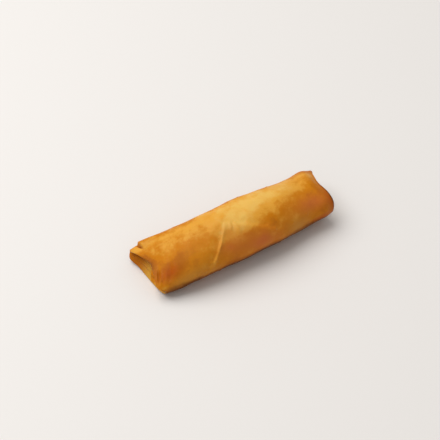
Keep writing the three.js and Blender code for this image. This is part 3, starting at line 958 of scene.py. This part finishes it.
def crust_material(crust):
    """Fried wheat wrapper: blotchy browning, browner ends and edges, painted shade in the folds, slits and
    under the roll, painted highlights, and a film of oil.
    """
    material = bpy.data.materials.new("fried_wrapper")
    material.use_nodes = True
    tree = Tree(material.node_tree)
    shader = tree.nodes["Principled BSDF"]
    place = tree.add("ShaderNodeTexCoord").outputs["Object"]
    xyz = tree.add("ShaderNodeSeparateXYZ", {0: place}).outputs
    blotches = noise(tree, place, **BLOTCHES)
    mottle = noise(tree, place, **MOTTLE)
    specks = noise(tree, place, **SPECKS)

    browning = attribute(tree, "browning")
    for pattern, amount in zip((blotches, mottle, specks), VARIES):
        more = tree.math("MULTIPLY", tree.about_zero(pattern), amount)
        browning = tree.math("ADD", browning, more)
    normal = tree.add("ShaderNodeNewGeometry").outputs["Normal"]
    facing = tree.add("ShaderNodeSeparateXYZ", {0: normal}).outputs
    # Browner toward the underside: partly real, partly painted shade where it turns toward the floor.
    browning = tree.math("ADD", browning, tree.ramp(facing["Z"], *UNDERSIDE_BROWN_AND_SHADE))
    off_middle = tree.math("ABSOLUTE", xyz["X"])
    browning = tree.math("ADD", browning, tree.ramp(off_middle, *TOWARD_ENDS))

    base = crust.pale
    for tone, low, high in TONES:
        base = mix_colour(tree, tree.ramp(browning, low, high), base, getattr(crust, tone))
    ruddy = tree.math("MULTIPLY", attribute(tree, "ruddy"), tree.ramp(blotches, *BROKEN_RED))
    base = mix_colour(tree, ruddy, base, crust.ruddy)
    for tone in ("olive", "roasted"):
        base = mix_colour(tree, attribute(tree, tone), base, getattr(crust, tone))
    base = mix_colour(tree, tree.ramp(browning, *DARKENS), base, crust.dark)
    inside = attribute(tree, "inside")
    tucked = mix_colour(tree, tree.ramp(xyz["Y"], *BACK_OF_MOUTH), crust.inner, crust.russet)
    base = mix_colour(tree, tree.ramp(inside, *LIP_TO_MOUTH), base, tucked)
    base = mix_colour(tree, tree.ramp(inside, *SHADE_INTO_SLIT), base, crust.dark)
    # Painted shade in the crevice and the pleats' grooves.
    base = mix_colour(tree, attribute(tree, "crevice_shade"), base, crust.crevice_shade)
    tree.links.new(base, shader.inputs["Base Color"])

    tree.links.new(tree.ramp(mottle, *GLOSS), shader.inputs["Roughness"])
    coarse = tree.math("MULTIPLY", mottle, MOTTLE_BUMP)
    height = tree.math("ADD", noise(tree, place, **PORES), coarse)
    bump = tree.add("ShaderNodeBump", {"Height": height, **FINE_BUMP})
    tree.links.new(bump.outputs[0], shader.inputs["Normal"])
    for name, value in FINISH.items():
        shader.inputs[name].default_value = value
    return material


# ---- The stage ----

FLOOR = {"half_size": 3.0, "roughness": 0.6}
KEY_LIGHT = {"size": 1.3, "place": (-0.35, 0.5, 1.1), "aim": (0, 0, 0)}
SKY_TINT = (1.0, 0.985, 0.965)
SENSOR_WIDTH = 36  # millimetres
CLIP_START = 0.01


def plain_material(name, tint, roughness):
    """A material of one colour."""
    material = bpy.data.materials.new(name)
    material.use_nodes = True
    shader = material.node_tree.nodes["Principled BSDF"]
    shader.inputs["Base Color"].default_value = rgba(tint)
    shader.inputs["Roughness"].default_value = roughness
    return material


def add_floor(stage):
    """A wide floor at the height that the roll rests on."""
    mesh = bpy.data.meshes.new("floor")
    half = FLOOR["half_size"]
    corners = [(-half, -half, 0), (half, -half, 0), (half, half, 0), (-half, half, 0)]
    mesh.from_pydata(corners, [], [(0, 1, 2, 3)])
    mesh.materials.append(plain_material("floor", stage.floor_colour, FLOOR["roughness"]))
    floor = bpy.data.objects.new("floor", mesh)
    bpy.context.scene.collection.objects.link(floor)


def add_light(name, power, size, place, aim):
    """A round soft light that shines from its place to its aim."""
    light = bpy.data.lights.new(name, "AREA")
    light.energy = power
    light.shape = "DISK"
    light.size = size
    lamp = bpy.data.objects.new(name, light)
    lamp.location = place
    lamp.rotation_euler = (Vector(aim) - Vector(place)).to_track_quat("-Z", "Y").to_euler()
    bpy.context.scene.collection.objects.link(lamp)


def add_camera(stage):
    """A camera that looks at its target from the stage's angles and distance."""
    around, up = stage.azimuth, stage.elevation
    target = Vector((stage.target_x, stage.target_y, 0))
    back = Vector((math.sin(around) * math.cos(up), -math.cos(around) * math.cos(up), math.sin(up)))
    data = bpy.data.cameras.new("camera")
    data.lens = stage.lens
    data.sensor_width = SENSOR_WIDTH
    data.clip_start = CLIP_START
    camera = bpy.data.objects.new("camera", data)
    camera.location = target + back * stage.distance
    camera.rotation_euler = (-back).to_track_quat("-Z", "Y").to_euler()
    bpy.context.scene.collection.objects.link(camera)
    bpy.context.scene.camera = camera


def add_sky(brightness):
    """Even light from all round."""
    world = bpy.data.worlds.new("sky")
    world.use_nodes = True
    background = world.node_tree.nodes["Background"]
    background.inputs["Color"].default_value = rgba(SKY_TINT)
    background.inputs["Strength"].default_value = brightness
    bpy.context.scene.world = world


# ---- Operators and panel ----

class SPRINGROLL_OT_wrapper(bpy.types.Operator):
    """Build the fried wrapper: its skin, its fry relief and its finish"""

    bl_idname = "springroll.wrapper"
    bl_label = "Build Wrapper"

    def execute(self, context):
        skin = build_skin(context.scene.spring_roll_form)
        crust = context.scene.spring_roll_crust
        apply_relief(skin, crust, crust_material(crust))
        if len(skin.data.polygons) == 0:
            raise RuntimeError("the fry relief returned an empty mesh")
        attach(skin, "root")
        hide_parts(NODE)
        return {"FINISHED"}


class SPRINGROLL_OT_stage(bpy.types.Operator):
    """Lay the floor, hang the lights and set the camera"""

    bl_idname = "springroll.stage"
    bl_label = "Set Stage"

    def execute(self, context):
        stage = context.scene.spring_roll_stage
        add_floor(stage)
        add_light("key", stage.key_power, **KEY_LIGHT)
        add_sky(stage.sky)
        add_camera(stage)
        context.scene.view_settings.view_transform = "Standard"
        return {"FINISHED"}


class SPRINGROLL_PT_panel(bpy.types.Panel):
    bl_label = "Spring Roll"
    bl_space_type = "VIEW_3D"
    bl_region_type = "UI"
    bl_category = "Spring Roll"

    def draw(self, context):
        scene = context.scene
        groups = (
            (scene.spring_roll_form, "springroll.wrapper"),
            (scene.spring_roll_crust, None),
            (scene.spring_roll_stage, "springroll.stage"),
        )
        for group, button in groups:
            box = self.layout.box()
            for name in group.__annotations__:
                box.prop(group, name)
            if button:
                box.operator(button)


SETTINGS = {
    "spring_roll_form": SpringRollForm,
    "spring_roll_crust": SpringRollCrust,
    "spring_roll_stage": SpringRollStage,
}
CLASSES = (*SETTINGS.values(), SPRINGROLL_OT_wrapper, SPRINGROLL_OT_stage, SPRINGROLL_PT_panel)


def register():
    for cls in CLASSES:
        bpy.utils.register_class(cls)
    for name, group in SETTINGS.items():
        setattr(bpy.types.Scene, name, bpy.props.PointerProperty(type=group))


def unregister():
    for name in SETTINGS:
        delattr(bpy.types.Scene, name)
    for cls in reversed(CLASSES):
        bpy.utils.unregister_class(cls)


def main():
    """Registers the add-on and builds the roll on its stage."""
    register()
    bpy.ops.springroll.wrapper()
    bpy.ops.springroll.stage()


if __name__ == "__main__":
    main()
